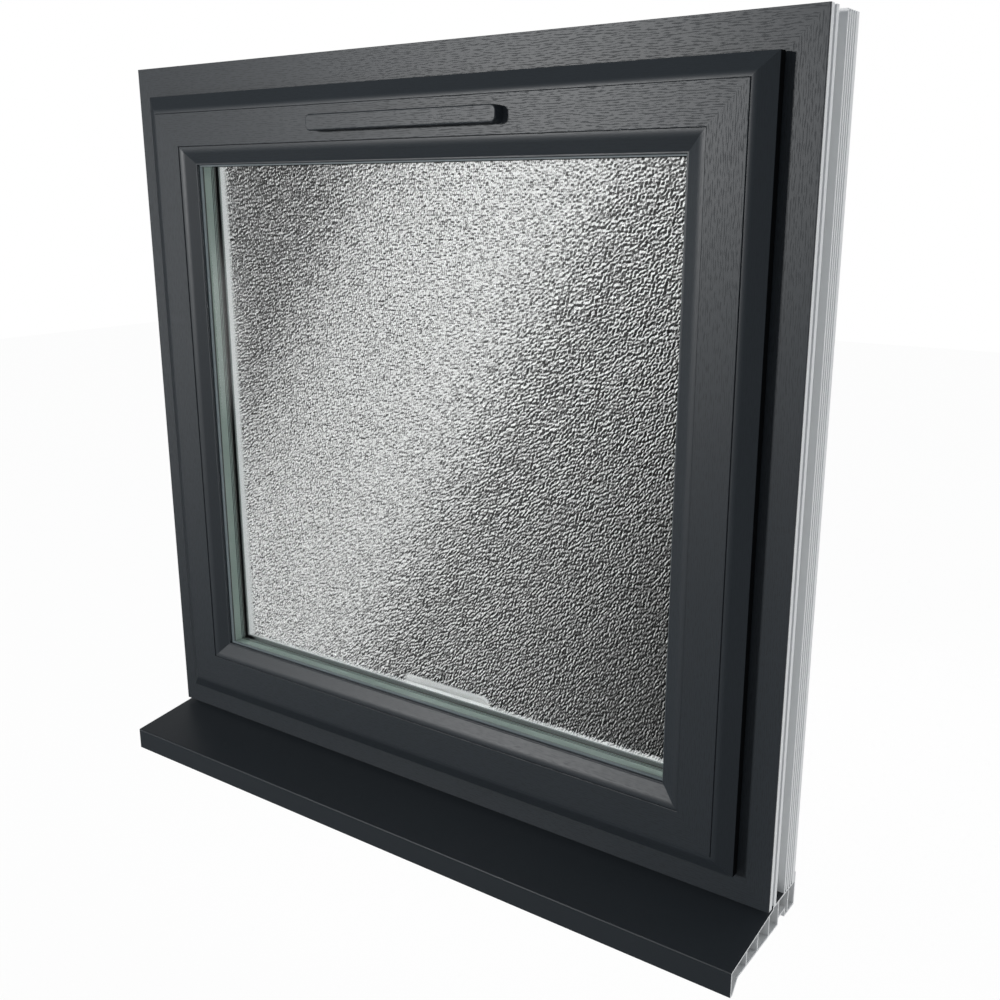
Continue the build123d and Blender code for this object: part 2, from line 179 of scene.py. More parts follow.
def foil(name, along, relief=1.0, painted_shade=1.0):
    """Grey foil. relief says how strong its grain is, and painted_shade darkens its colour, a painted shade.
    """
    material, n = new_material(name, (0.035, 0.04, 0.045))
    place = n.place()
    grain = n.math("MULTIPLY", grain_mask(n, place, along), relief)
    cloud = n.noise(n.stretch(place, (FOIL_CLOUDS,) * 3), 1.0, 2.0)
    colour = n.mix(cloud, *[tuple(c * painted_shade for c in tone) for tone in FOIL_TONES])
    colour = n.mix(n.math("MULTIPLY", grain, GRAIN_DARK), colour, GRAIN_COLOUR)
    height = n.math("MULTIPLY", grain, -1.0)
    bump = n.add("ShaderNodeBump", {"Height": height, "Strength": GRAIN_STRENGTH, "Distance": GRAIN_DEEP})
    rough = n.math("MULTIPLY_ADD", grain, GRAIN_ROUGH, FOIL_ROUGH)
    finish_material(n, principled(n, Base_Color=colour, Roughness=rough, Normal=bump.outputs[0],
                                  Specular_IOR_Level=0.5))
    return material


# Plastic, rubber and metal
PLASTIC_CLOUDS, PLASTIC_SPREAD = 90.0, 0.08
BRUSHED, BRUSHED_DARK, BRUSHED_SPREAD = (1500.0, 1500.0, 60.0), 0.8, 0.12


def plastic(name, colour, roughness=0.35, specular=0.5, mottle=0.04):
    """Smooth plastic or rubber with a faint unevenness."""
    material, n = new_material(name, colour)
    cloud = n.noise(n.place(), PLASTIC_CLOUDS, 3.0)
    tone = n.mix(cloud, tuple(c * (1.0 - mottle * 2) for c in colour), colour)
    rough = n.math("MULTIPLY_ADD", cloud, PLASTIC_SPREAD, roughness - PLASTIC_SPREAD / 2)
    finish_material(n, principled(n, Base_Color=tone, Roughness=rough, Specular_IOR_Level=specular))
    return material


def metal(name, colour, roughness=0.3):
    """Metal brushed along its height."""
    material, n = new_material(name, colour)
    brushed = n.noise(n.stretch(n.place(), BRUSHED), 1.0, 3.0)
    tone = n.mix(brushed, tuple(c * BRUSHED_DARK for c in colour), colour)
    rough = n.math("MULTIPLY_ADD", brushed, BRUSHED_SPREAD, roughness - BRUSHED_SPREAD / 2)
    finish_material(n, principled(n, Base_Color=tone, Roughness=rough, Metallic=1.0))
    return material


# Outer pane
CLEAR_TINTS = ((0.945, 0.96, 0.955), (0.955, 0.97, 0.965))
CLEAR_WAVES = 5.0
CLEAR_IOR = 1.33


def clear_glass(name):
    """See-through glass with a slight green tint and its own reflections."""
    material, n = new_material(name, (0.8, 0.88, 0.85))
    tint = n.mix(n.noise(n.place(), CLEAR_WAVES, 1.0), *CLEAR_TINTS)
    finish_material(n, principled(n, Base_Color=tint, Roughness=0.0, IOR=CLEAR_IOR, Transmission_Weight=1.0))
    return material


# Inner pane: glass pressed on its room side with a fine irregular stipple, whose bumps have their lit and
# shaded sides painted into its colour. Lengths in metres.
OBSCURE_TINT = (0.92, 0.93, 0.93)
OBSCURE_ROUGH, OBSCURE_IOR = 0.06, 1.45
STIPPLE_FROM_Y = 0.0175
STIPPLE_SCALE, STIPPLE_DETAIL, STIPPLE_TWIST = 315.0, 0.0, 0.3
STIPPLE_NARROW, STIPPLE_LEAN = 1.45, 0.3
STIPPLE_DEEP = 0.0009
STIPPLE_ASIDE = (-0.0010, 0.0006, 0.0)
STIPPLE_CONTRAST = 3.4
STIPPLE_PAINTED_SHADES = [(0.22, 0.02), (0.40, 0.40), (0.50, 0.68), (0.66, 1.0)]

# The line across the pane where the stipple's painted lit side changes over, and the small painted dark and
# light specks along it
SWEEP_X, SWEEP_Z, SWEEP_PLACE = 0.8581, -0.5135, 0.3251
SWEEP_SOFT = 0.19
CENTRE_SCALE, CENTRE_CONTRAST, CENTRE_SPECKS = 430.0, 4.0, 0.40

# Where the pane is smooth: a margin at its edges and a rounded spot over the handle
MARGIN_START, MARGIN_END = 0.122, 0.127
MARGIN_LEFT, MARGIN_BOTTOM = 0.007, 0.002
SPOT_X, SPOT_HALF_LONG = 0.0205, 0.0555
SPOT_Z, SPOT_HALF_HIGH = 0.150, 0.006
SPOT_ROUND, SPOT_SOFT = 0.008, 0.001


def stipple(n, x, z):
    """The stipple's height, and its painted light and shade: how much each bit of it faces the light."""
    lean = n.math("MULTIPLY", z, -STIPPLE_LEAN)
    flat = n.join(n.math("MULTIPLY_ADD", x, STIPPLE_NARROW, lean), z)
    aside = n.vector("ADD", flat, STIPPLE_ASIDE)
    bumps = n.noise(flat, STIPPLE_SCALE, STIPPLE_DETAIL, 0.5, STIPPLE_TWIST)
    beside = n.noise(aside, STIPPLE_SCALE, STIPPLE_DETAIL, 0.5, STIPPLE_TWIST)
    sweep = n.math("ADD", n.math("MULTIPLY", x, SWEEP_X), n.math("MULTIPLY_ADD", z, SWEEP_Z, SWEEP_PLACE))
    sweep = n.map_range(sweep, -SWEEP_SOFT, SWEEP_SOFT, -STIPPLE_CONTRAST, STIPPLE_CONTRAST)
    painted_light = n.math("MULTIPLY_ADD", n.math("SUBTRACT", bumps, beside), sweep, 0.5)
    centre = n.math("SUBTRACT", 1.0, n.math("DIVIDE", n.math("ABSOLUTE", sweep), STIPPLE_CONTRAST))
    painted_specks = n.noise(flat, CENTRE_SCALE, STIPPLE_DETAIL, 0.5, STIPPLE_TWIST)
    painted_specks = n.math("MULTIPLY", n.math("SUBTRACT", painted_specks, CENTRE_SPECKS), CENTRE_CONTRAST)
    return bumps, n.math("MULTIPLY_ADD", centre, painted_specks, painted_light)


def inside_margin(n, x, z):
    """0 in the smooth margin at the left, right and bottom edges, and 1 inside it."""
    half = WIDTH * MM / 2
    left = n.math("ADD", x, half - MARGIN_LEFT)
    right = n.math("SUBTRACT", half, x)
    bottom = n.math("SUBTRACT", z, FRAME_BOTTOM * MM - MARGIN_BOTTOM)
    nearest = n.math("MINIMUM", n.math("MINIMUM", left, right), bottom)
    return n.map_range(nearest, MARGIN_START, MARGIN_END, 0.0, 1.0)


def outside_spot(n, x, z):
    """0 on the smooth spot over the handle, and 1 round it."""
    beyond_x = n.math("SUBTRACT", n.math("ABSOLUTE", n.math("SUBTRACT", x, SPOT_X)), SPOT_HALF_LONG)
    beyond_z = n.math("SUBTRACT", n.math("ABSOLUTE", n.math("SUBTRACT", z, SPOT_Z)), SPOT_HALF_HIGH)
    square_x = n.math("POWER", n.math("MAXIMUM", beyond_x, 0.0), 2.0)
    square_z = n.math("POWER", n.math("MAXIMUM", beyond_z, 0.0), 2.0)
    beyond = n.math("SQRT", n.math("ADD", square_x, square_z))
    return n.map_range(beyond, SPOT_ROUND - SPOT_SOFT, SPOT_ROUND + SPOT_SOFT, 0.0, 1.0)


def obscure_glass(name):
    """Pressed glass: its stipple is bump and painted light and shade in its tone, which stand for what its
    lenses do to light.
    """
    material, n = new_material(name, (0.7, 0.71, 0.71))
    x, y, z = n.axes(n.place())
    bumps, painted_light = stipple(n, x, z)
    pressed = n.math("MULTIPLY", inside_margin(n, x, z), outside_spot(n, x, z))
    room_side = n.math("GREATER_THAN", y, STIPPLE_FROM_Y)
    height = n.math("MULTIPLY", bumps, n.math("MULTIPLY", room_side, pressed))
    bump = n.add("ShaderNodeBump", {"Height": height, "Strength": 1.0, "Distance": STIPPLE_DEEP})
    # Painted light and shade of the stipple, and plain tint in the smooth margin and spot
    tone = n.mix(pressed, OBSCURE_TINT, n.ramp(painted_light, STIPPLE_PAINTED_SHADES))
    finish_material(n, principled(n, Base_Color=tone, Roughness=OBSCURE_ROUGH, IOR=OBSCURE_IOR,
                                  Transmission_Weight=1.0, Normal=bump.outputs[0]))
    return material


# Materials
FOIL_X = foil("foil_grain_along_width", "x")
FOIL_Z = foil("foil_grain_upright", "z")
MOULD_X = foil("foil_moulding_along_width", "x", 0.45)
MOULD_Z = foil("foil_moulding_upright", "z", 0.45)
# The cill's foil: smoother, and darker than the rest of the foil as painted shade, for its up-facing top that
# little light reaches
SHADED_SMOOTH_FOIL = foil("foil_smooth_painted_shade", "x", 0.12, 0.84)
WHITE = plastic("white_plastic", (0.85, 0.85, 0.84), 0.32, 0.5, 0.012)
SHADE = plastic("cill_core_plastic", (0.84, 0.84, 0.83), 0.45, 0.5, 0.02)
BLACK = plastic("black_rubber", (0.012, 0.012, 0.013), 0.5, 0.3)
GREY_GASKET = plastic("grey_gasket", (0.16, 0.19, 0.20), 0.5, 0.3)
SPACER = plastic("spacer_bar", (0.20, 0.26, 0.235), 0.4, 0.5)
PALE_GASKET = plastic("pale_gasket", (0.20, 0.23, 0.225), 0.5, 0.3)
SEALANT = plastic("edge_sealant", (0.040, 0.045, 0.042), 0.5, 0.3)
# Near-black on the sash lip's side and back, darker than the foil
LIP_BLACK = plastic("black_lip_edge", (0.008, 0.009, 0.010), 0.6, 0.2)
LINES = plastic("spacer_rear_strip", (0.05, 0.065, 0.065), 0.5, 0.3)
PACKER = plastic("packer_plastic", (0.03, 0.10, 0.35), 0.45)
ENAMEL = plastic("white_enamel", (0.82, 0.82, 0.81), 0.22)
STEEL = metal("stainless_steel", (0.62, 0.62, 0.63))
CLEAR = clear_glass("clear_glass")
OBSCURE = obscure_glass("obscure_glass")

# Mesh helpers
SHARP_ANGLE = math.radians(32)


def add_mesh(name, verts, faces, materials, face_materials=None, smooth=None):
    """A mesh object from points in millimetres."""
    mesh = bpy.data.meshes.new(name)
    mesh.from_pydata([tuple(c * MM for c in v) for v in verts], [], faces)
    for material in materials:
        mesh.materials.append(material)
    mesh.set_sharp_from_angle(angle=SHARP_ANGLE)
    for number, polygon in enumerate(mesh.polygons):
        polygon.material_index = face_materials[number] if face_materials else 0
        polygon.use_smooth = bool(smooth and smooth[number])
    mesh.update()
    obj = bpy.data.objects.new(name, mesh)
    bpy.context.scene.collection.objects.link(obj)
    return obj


def fix_normals(obj):
    """Turn every face outwards."""
    work = bmesh.new()
    work.from_mesh(obj.data)
    bmesh.ops.recalc_face_normals(work, faces=work.faces)
    work.to_mesh(obj.data)
    work.free()


def arc(start, bulge, end, count):
    """Points on the circle through three points, from start to end, both included."""
    (ax, ay), (bx, by), (cx, cy) = start, bulge, end
    a, b, c = ax**2 + ay**2, bx**2 + by**2, cx**2 + cy**2
    d = 2 * (ax * (by - cy) + bx * (cy - ay) + cx * (ay - by))
    ux = (a * (by - cy) + b * (cy - ay) + c * (ay - by)) / d
    uy = (a * (cx - bx) + b * (ax - cx) + c * (bx - ax)) / d
    radius = math.hypot(ax - ux, ay - uy)
    first = math.atan2(ay - uy, ax - ux)
    middle = math.atan2(by - uy, bx - ux)
    last = math.atan2(cy - uy, cx - ux)
    turn = (last - first) % (2 * math.pi)
    if (middle - first) % (2 * math.pi) > turn:
        turn -= 2 * math.pi
    angles = [first + turn * i / count for i in range(count + 1)]
    return [(ux + radius * math.cos(angle), uy + radius * math.sin(angle)) for angle in angles]


def roll(before, corner, after, reach, count):
    """Points round a corner, from one reach before it to one reach after it."""
    here = Vector(corner)
    back = (Vector(before) - here).normalized()
    onward = (Vector(after) - here).normalized()
    half = back.angle(onward) / 2
    bulge = here + (back + onward).normalized() * (reach * (1 - math.sin(half)) / math.cos(half))
    return arc(tuple(here + back * reach), tuple(bulge), tuple(here + onward * reach), count)


def rounded(corners, count):
    """An outline as ((a, b), smooth), from corners (a, b, radius) in a closed loop. Radius 0 is sharp."""
    result = []
    total = len(corners)
    for i, (a, b, radius) in enumerate(corners):
        if radius <= 0:
            result.append(((a, b), False))
            continue
        here = Vector((a, b))
        before = Vector(corners[i - 1][:2]) - here
        after = Vector(corners[(i + 1) % total][:2]) - here
        angle = before.angle(after)
        reach = min(radius / math.tan(angle / 2), before.length * 0.45, after.length * 0.45)
        start = here + before.normalized() * reach
        end = here + after.normalized() * reach
        for step in range(count + 1):
            t = step / count
            spot = start * (1 - t) ** 2 + here * 2 * t * (1 - t) + end * t**2
            result.append(((spot.x, spot.y), step < count))
    return result


# Which of a piece's materials a face has. Mitred and cut ends show the core.
FACE, CORE, EDGE, MOULD = 0, 1, 2, 3
TURNS = {"bottom": 0.0, "top": math.pi, "left": math.pi / 2, "right": -math.pi / 2}


def mitred_member(name, node, outline, side, materials):
    """One mitred bar. outline is a closed list of (depth, in, material, smooth)."""
    long, across = (WIDTH, HEIGHT) if side in LEVEL_SIDES else (HEIGHT, WIDTH)
    turn = Matrix.Rotation(TURNS[side], 3, "Y")
    verts = []
    for depth, inward, _, _ in outline:
        for reach in (inward - long / 2, long / 2 - inward):
            spot = turn @ Vector((reach, depth, -across / 2 + inward))
            verts.append((spot.x, spot.y, spot.z + MIDDLE_Z))
    count = len(outline)
    faces, kinds, smooth = [], [], []
    for i, (_, _, kind, soft) in enumerate(outline):
        j = (i + 1) % count
        faces.append((2 * i, 2 * i + 1, 2 * j + 1, 2 * j))
        kinds.append(kind)
        smooth.append(soft)
    faces.append(tuple(2 * i for i in range(count)))
    faces.append(tuple(2 * i + 1 for i in reversed(range(count))))
    kinds += [CORE, CORE]
    smooth += [False, False]
    obj = add_mesh(name, verts, faces, materials, kinds, smooth)
    fix_normals(obj)
    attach(obj, "root")
    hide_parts(node)
    return obj


# Outer frame
FRAME_NODES = {"bottom": "frame_bottom_rail", "top": "frame_head", "left": "frame_left_jamb",
               "right": "frame_right_jamb"}
FRAME_FACE_IN, FRAME_ROOM_IN, FRAME_STEP = 43.0, 64.0, 49.0
FOIL_WRAP = 2.2
CHANNEL_FRONT, CHANNEL_REAR, CHANNEL_DEEP = 20.0, 41.0, 10.0
GROOVE_FRONT, GROOVE_REAR, GROOVE_DEEP = 8.5, 13.7, 1.4
REAR_GROOVES, REAR_GROOVE_FIRST, REAR_GROOVE_PITCH, REAR_GROOVE_WIDE = 4, 44.3, 5.3, 2.4
FRAME_EDGE = 0.3


def groove(rear, front, deep):
    """A square groove in the frame's outer side, from its rear edge to its front edge."""
    return [(rear, 0.0, FRAME_EDGE), (rear, deep, FRAME_EDGE), (front, deep, FRAME_EDGE),
            (front, 0.0, FRAME_EDGE)]


def frame_outline():
    corners = [(0.0, 0.0, 0.5), (0.0, FRAME_FACE_IN, 0.4), (FRAME_STEP, FRAME_FACE_IN, 0.0),
               (FRAME_STEP, FRAME_ROOM_IN, 0.6), (DEPTH, FRAME_ROOM_IN, 0.6), (DEPTH, 0.0, FRAME_EDGE)]
    for number in reversed(range(REAR_GROOVES)):
        near = REAR_GROOVE_FIRST + REAR_GROOVE_PITCH * number
        corners += groove(near + REAR_GROOVE_WIDE, near, GROOVE_DEEP)
    corners += groove(CHANNEL_REAR, CHANNEL_FRONT, CHANNEL_DEEP)
    corners += groove(GROOVE_REAR, GROOVE_FRONT, GROOVE_DEEP)
    corners.append((FOIL_WRAP, 0.0, 0.0))
    outline = []
    for (depth, inward), soft in rounded(corners, 2):
        foiled = depth < FOIL_WRAP + 0.01 and inward < FRAME_FACE_IN - 0.3
        outline.append((depth, inward, FACE if foiled else CORE, soft))
    return outline


for side, node in FRAME_NODES.items():
    skin = FOIL_X if side in LEVEL_SIDES else FOIL_Z
    piece = mitred_member("outer_" + node, node, frame_outline(), side, [skin, WHITE])

# Sash
SASH_NODES = {"bottom": "sash_bottom_rail", "top": "sash_top_rail", "left": "sash_left_stile",
              "right": "sash_right_stile"}
SASH_IN = 55.0
LIP_IN, LIP_FRONT, LIP_REAR = 35.0, -13.0, -3.0
FIELD, FIELD_START, FIELD_END = -24.0, 56.5, 94.0
QUIRK, QUIRK_WIDE = -22.1, 0.6
MOULD_TOP, MOULD_END, RIM_START = -22.9, -15.2, 114.2
OUTER_CREST, OUTER_END, OUTER_ROLL = 52.25, 55.55, 3.0
INNER_START, INNER_CREST, INNER_ROLL = 94.95, 99.25, 4.0
ROLL_STEPS = 10
HARDWARE_FRONT, HARDWARE_REAR, HARDWARE_DEEP = 13.5, 29.5, 3.2


def moulding(points):
    """A moulding's roll. Its last point starts a flat face."""
    rolled = [(depth, inward, MOULD, True) for depth, inward in points]
    rolled[-1] = (*rolled[-1][:3], False)
    return rolled


def sash_outline():
    outer_roll = roll((LIP_FRONT, LIP_IN), (MOULD_TOP, OUTER_CREST), (MOULD_TOP, OUTER_END), OUTER_ROLL,
                      ROLL_STEPS)
    inner_roll = roll((MOULD_TOP, INNER_START), (MOULD_TOP, INNER_CREST), (MOULD_END, RIM_START), INNER_ROLL,
                      ROLL_STEPS)
    lip = [(LIP_REAR, SASH_IN, EDGE, False), (LIP_REAR, LIP_IN, EDGE, False),
           (LIP_FRONT + 0.5, LIP_IN, MOULD, True), (LIP_FRONT - 0.1, LIP_IN + 0.15, MOULD, True),
           (LIP_FRONT - 0.4, LIP_IN + 0.7, MOULD, False)]
    field = [(MOULD_TOP, OUTER_END, FACE, False), (QUIRK, FIELD_START - QUIRK_WIDE, FACE, False),
             (FIELD + 0.25, FIELD_START - 0.4, FACE, True), (FIELD, FIELD_START, FACE, False),
             (FIELD, FIELD_END, FACE, True), (FIELD + 0.25, FIELD_END + 0.4, FACE, False),
             (QUIRK, FIELD_END + QUIRK_WIDE, FACE, False), (MOULD_TOP, INNER_START, MOULD, False)]
    rim = [(MOULD_END, RIM_START, MOULD, False), (MOULD_END, SIGHT_IN - 0.6, MOULD, True),
           (MOULD_END + 0.2, SIGHT_IN - 0.2, MOULD, True), (MOULD_END + 0.6, SIGHT_IN, MOULD, False)]
    rebate = [(REBATE_FRONT, SIGHT_IN, FACE, False), (REBATE_FRONT, REBATE_IN, CORE, False),
              (SASH_REAR - 0.4, REBATE_IN, CORE, True), (SASH_REAR, REBATE_IN - 0.4, CORE, False),
              (SASH_REAR, SASH_IN + 0.5, CORE, True), (SASH_REAR - 0.5, SASH_IN, CORE, False)]
    hardware_groove = [(HARDWARE_REAR, SASH_IN, CORE, False),
                       (HARDWARE_REAR, SASH_IN + HARDWARE_DEEP, CORE, False),
                       (HARDWARE_FRONT, SASH_IN + HARDWARE_DEEP, CORE, False),
                       (HARDWARE_FRONT, SASH_IN, CORE, False)]
    return lip + moulding(outer_roll) + field + moulding(inner_roll) + rim + rebate + hardware_groove


for side, node in SASH_NODES.items():
    skin, mould = (FOIL_X, MOULD_X) if side in LEVEL_SIDES else (FOIL_Z, MOULD_Z)
    piece = mitred_member("dressed_" + node, node, sash_outline(), side, [skin, WHITE, LIP_BLACK, mould])

# Glazing beads
BEAD_FRONT, BEAD_SHOULDER, BEAD_TOP_IN = 22.0, 32.0, 105.0


def bead_outline():
    corners = [(BEAD_FRONT, REBATE_IN, 0.0), (BEAD_FRONT, SIGHT_IN, 0.8), (BEAD_SHOULDER, SIGHT_IN, 2.5),
               (SASH_REAR, BEAD_TOP_IN, 1.5), (SASH_REAR, REBATE_IN, 0.0)]
    return [(depth, inward, FACE, soft) for (depth, inward), soft in rounded(corners, 3)]


for side in SIDES:
    piece = mitred_member("dressed_" + side + "_bead", side + "_bead", bead_outline(), side, [WHITE, WHITE])

# Spacer between the panes, with sealant at its front and rear and two sunk strips along it
CAVITY_FRONT, CAVITY_REAR = GLASS_FRONT + PANE, GLASS_REAR - PANE
SPACER_OUT, SPACER_IN = 109.0, SIGHT_IN - 0.8
SEALANT_WIDE, SPACER_REAR = 2.0, 12.6
STRIPS, STRIP_DEEP = ((8.2, 9.4), (10.4, 11.8)), 0.5


def spacer_outline():
    outline = [(CAVITY_FRONT, SPACER_OUT, CORE, False), (CAVITY_FRONT, SPACER_IN, CORE, False),
               (CAVITY_FRONT + SEALANT_WIDE, SPACER_IN, FACE, False)]
    for front, rear in STRIPS:
        sunk = SPACER_IN - STRIP_DEEP
        outline += [(front, SPACER_IN, EDGE, False), (front, sunk, EDGE, False), (rear, sunk, EDGE, False),
                    (rear, SPACER_IN, FACE, False)]
    return outline + [(SPACER_REAR, SPACER_IN, CORE, False), (CAVITY_REAR, SPACER_IN, CORE, False),
                      (CAVITY_REAR, SPACER_OUT, CORE, False)]


for side in SIDES:
    piece = mitred_member("dressed_spacer_" + side, "spacer_frame", spacer_outline(), side,
                          [SPACER, SEALANT, LINES])

# Pieces that keep their CAD shape
KEPT = {
    "outer_pane": CLEAR, "inner_pane": OBSCURE, "edge_seal": SEALANT,
    "outer_glazing_gasket": GREY_GASKET, "inner_glazing_gasket": PALE_GASKET,
    "outer_weather_seal": BLACK, "inner_weather_seal": BLACK,
    "left_setting_block": PACKER, "right_setting_block": PACKER,
    "left_friction_stay": STEEL, "right_friction_stay": STEEL, "lock_rail": STEEL,
    "left_keep": STEEL, "right_keep": STEEL,
    "handle_base": ENAMEL, "handle_lever": ENAMEL, "vent_closer": WHITE, "vent_flap": WHITE,
}
for node, material in KEPT.items():
    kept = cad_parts[node].data.materials
    kept.clear()
    kept.append(material)
for node in ("outer_pane", "inner_pane"):
    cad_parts[node].visible_shadow = False

# Cill
NOSE_Y, NOSE_TOP, NOSE_BOTTOM = -87.0, 14.5, -13.0
SLOPE_END_Y, SLOPE_END_Z, CILL_TOP = 12.4, 27.2, 30.0
UPSTAND_FRONT, UPSTAND_TOP, CILL_REAR = 70.3, 39.5, 72.5
NOTCH_FRONT, NOTCH_REAR, NOTCH_DEEP = 28.8, 46.0, 8.0
DRIP_ROOT_Y, DRIP_FOOT_Y = -71.0, -82.0
WALL = 2.0
SLOPE_WEBS, REAR_WEB = (-51.5, -24.3, 3.9), 54.0
NOSE_WRAP = 3.0


def slope_at(y):
    return NOSE_TOP + (SLOPE_END_Z - NOSE_TOP) * (y - NOSE_Y) / (SLOPE_END_Y - NOSE_Y)


def under_slope(y):
    return (y, slope_at(y) - WALL)


def cill_outline():
    corners = [
        (NOSE_Y, NOSE_BOTTOM, 0.4), (NOSE_Y, NOSE_TOP, 1.6), (SLOPE_END_Y, SLOPE_END_Z, 0.0),
        (SLOPE_END_Y, CILL_TOP, 0.5), (UPSTAND_FRONT, CILL_TOP, 0.0), (UPSTAND_FRONT, UPSTAND_TOP, 0.4),
        (CILL_REAR, UPSTAND_TOP, 0.4), (CILL_REAR, 0.0, 0.4), (NOTCH_REAR, 0.0, 0.0),
        (NOTCH_REAR, NOTCH_DEEP, 0.0), (NOTCH_FRONT, NOTCH_DEEP, 0.0), (NOTCH_FRONT, 0.0, 0.4),
        (DRIP_ROOT_Y, 0.0, 0.6), (DRIP_FOOT_Y, NOSE_BOTTOM, 0.4),
    ]
    outline = []
    for (y, z), soft in rounded(corners, 5):
        nose = y < NOSE_Y + NOSE_WRAP and z > NOSE_BOTTOM
        top = z > NOSE_TOP - 0.5 and z >= slope_at(min(y, SLOPE_END_Y)) - 0.3 and y < UPSTAND_FRONT - 0.1
        outline.append((y, z, FACE if nose or top else CORE, soft))
    return outline


def cill_chambers():
    half, roof = WALL / 2, CILL_TOP - WALL
    first, last = SLOPE_WEBS[0] - half, SLOPE_WEBS[-1] + half
    nose, foot = NOSE_Y + WALL, NOSE_BOTTOM + WALL
    chambers = [[(nose, foot), (DRIP_FOOT_Y - half, foot), (DRIP_ROOT_Y - half, WALL), (first, WALL),
                 under_slope(first), under_slope(nose)]]
    for web, next_web in zip(SLOPE_WEBS, SLOPE_WEBS[1:]):
        front, rear = web + half, next_web - half
        chambers.append([(front, WALL), (rear, WALL), under_slope(rear), under_slope(front)])
    chambers.append([(last, WALL), (NOTCH_FRONT - WALL, WALL), (NOTCH_FRONT - WALL, roof),
                     (SLOPE_END_Y + WALL, roof), (SLOPE_END_Y + WALL, SLOPE_END_Z - WALL), under_slope(last)])
    chambers.append([(NOTCH_FRONT, NOTCH_DEEP + WALL), (NOTCH_REAR + WALL, NOTCH_DEEP + WALL),
                     (NOTCH_REAR + WALL, WALL), (REAR_WEB - half, WALL), (REAR_WEB - half, roof),
                     (NOTCH_FRONT, roof)])
    chambers.append([(REAR_WEB + half, WALL), (CILL_REAR - WALL, WALL), (CILL_REAR - WALL, roof),
                     (REAR_WEB + half, roof)])
    return chambers


def bar_with_chambers(name, outline, chambers, materials):
    """A straight bar along X. outline is a list of (y, z, material, smooth). Chambers run through it."""
    loops = [[(y, z) for y, z, _, _ in outline]] + chambers
    flat = [point for loop in loops for point in loop]
    verts = [(x, y, z) for x in (-WIDTH / 2, WIDTH / 2) for y, z in flat]
    total = len(flat)
    faces, kinds, smooth = [], [], []
    start = 0
    for number, loop in enumerate(loops):
        count = len(loop)
        for i in range(count):
            j = (i + 1) % count
            faces.append((start + i, start + j, total + start + j, total + start + i))
            kinds.append(outline[i][2] if number == 0 else CORE)
            smooth.append(outline[i][3] if number == 0 else False)
        start += count
    for triangle in tessellate_polygon([[Vector((y, z, 0)) for y, z in loop] for loop in loops]):
        faces.append(tuple(triangle))
        faces.append(tuple(total + i for i in reversed(triangle)))
        kinds += [CORE, CORE]
        smooth += [False, False]
    obj = add_mesh(name, verts, faces, materials, kinds, smooth)
    fix_normals(obj)
    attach(obj, "root")
    return obj


piece = bar_with_chambers("dressed_cill", cill_outline(), cill_chambers(), [SHADED_SMOOTH_FOIL, SHADE])
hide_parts("cill")

# Trickle vent canopy
CANOPY_X, CANOPY_Z = 6.0, 804.75
CANOPY_LONG, CANOPY_HIGH, CANOPY_FRONT = 253.0, 17.0, -36.5
CANOPY_CORNER, CANOPY_EDGE = 6.0, 1.3
CORNER_STEPS = 8
EDGE_ANGLES = (0.0, math.pi / 6, math.pi / 3, math.pi / 2)


def canopy_ring(depth, inset):
    """The canopy's outline at one depth, with its corners rounded."""
    radius = CANOPY_CORNER - inset
    ring = []
    for side_x, side_z, start in ((1, 1, 0), (-1, 1, 90), (-1, -1, 180), (1, -1, 270)):
        corner_x = CANOPY_X + side_x * (CANOPY_LONG / 2 - CANOPY_CORNER)
        corner_z = CANOPY_Z + side_z * (CANOPY_HIGH / 2 - CANOPY_CORNER)
        for i in range(CORNER_STEPS + 1):
            angle = math.radians(start + 90 * i / CORNER_STEPS)
            ring.append((corner_x + radius * math.cos(angle), depth, corner_z + radius * math.sin(angle)))
    return ring


def vent_canopy(name, materials):
    """A flat cover with rounded corners that stands on the sash, its front edge eased."""
    rings = [canopy_ring(FIELD, 0.0)]
    for angle in EDGE_ANGLES:
        depth = CANOPY_FRONT + CANOPY_EDGE * (1 - math.sin(angle))
        rings.append(canopy_ring(depth, CANOPY_EDGE * (1 - math.cos(angle))))
    verts = [point for ring in rings for point in ring]
    count = len(rings[0])
    faces = []
    for start in range(0, len(verts) - count, count):
        for i in range(count):
            j = (i + 1) % count
            faces.append((start + i, start + j, start + count + j, start + count + i))
    smooth = [True] * len(faces) + [False, False]
    faces.append(tuple(range(count)))
    faces.append(tuple(reversed(range(len(verts) - count, len(verts)))))
    obj = add_mesh(name, verts, faces, materials, None, smooth)
    fix_normals(obj)
    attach(obj, "root")
    return obj


piece = vent_canopy("dressed_vent_canopy", [FOIL_X])
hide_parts("vent_canopy")

# Floor, in millimetres
FLOOR_REACH, FLOOR_Z = 6000, -160
FLOOR_COLOUR, FLOOR_WHITE = (0.80, 0.80, 0.80), 0.97


def floor_paper(name):
    """Pale paper that looks almost white and keeps the object's shadow."""
    material, n = new_material(name, FLOOR_COLOUR)
    diffuse = n.add("ShaderNodeBsdfDiffuse", {"Color": (*FLOOR_COLOUR, 1.0)})
    glow = n.add("ShaderNodeEmission", {"Color": (1, 1, 1, 1), "Strength": 1.0})
    share = n.math("MULTIPLY", n.looked_at(), FLOOR_WHITE)
    links = {0: share, 1: diffuse.outputs[0], 2: glow.outputs[0]}
    finish_material(n, n.add("ShaderNodeMixShader", links))
    return material


corners = [(x * FLOOR_REACH, y * FLOOR_REACH, FLOOR_Z) for x, y in ((-1, -1), (1, -1), (1, 1), (-1, 1))]
floor = add_mesh("floor", corners, [(0, 1, 2, 3)], [floor_paper("floor_paper")])
floor.visible_glossy = False
floor.visible_transmission = False

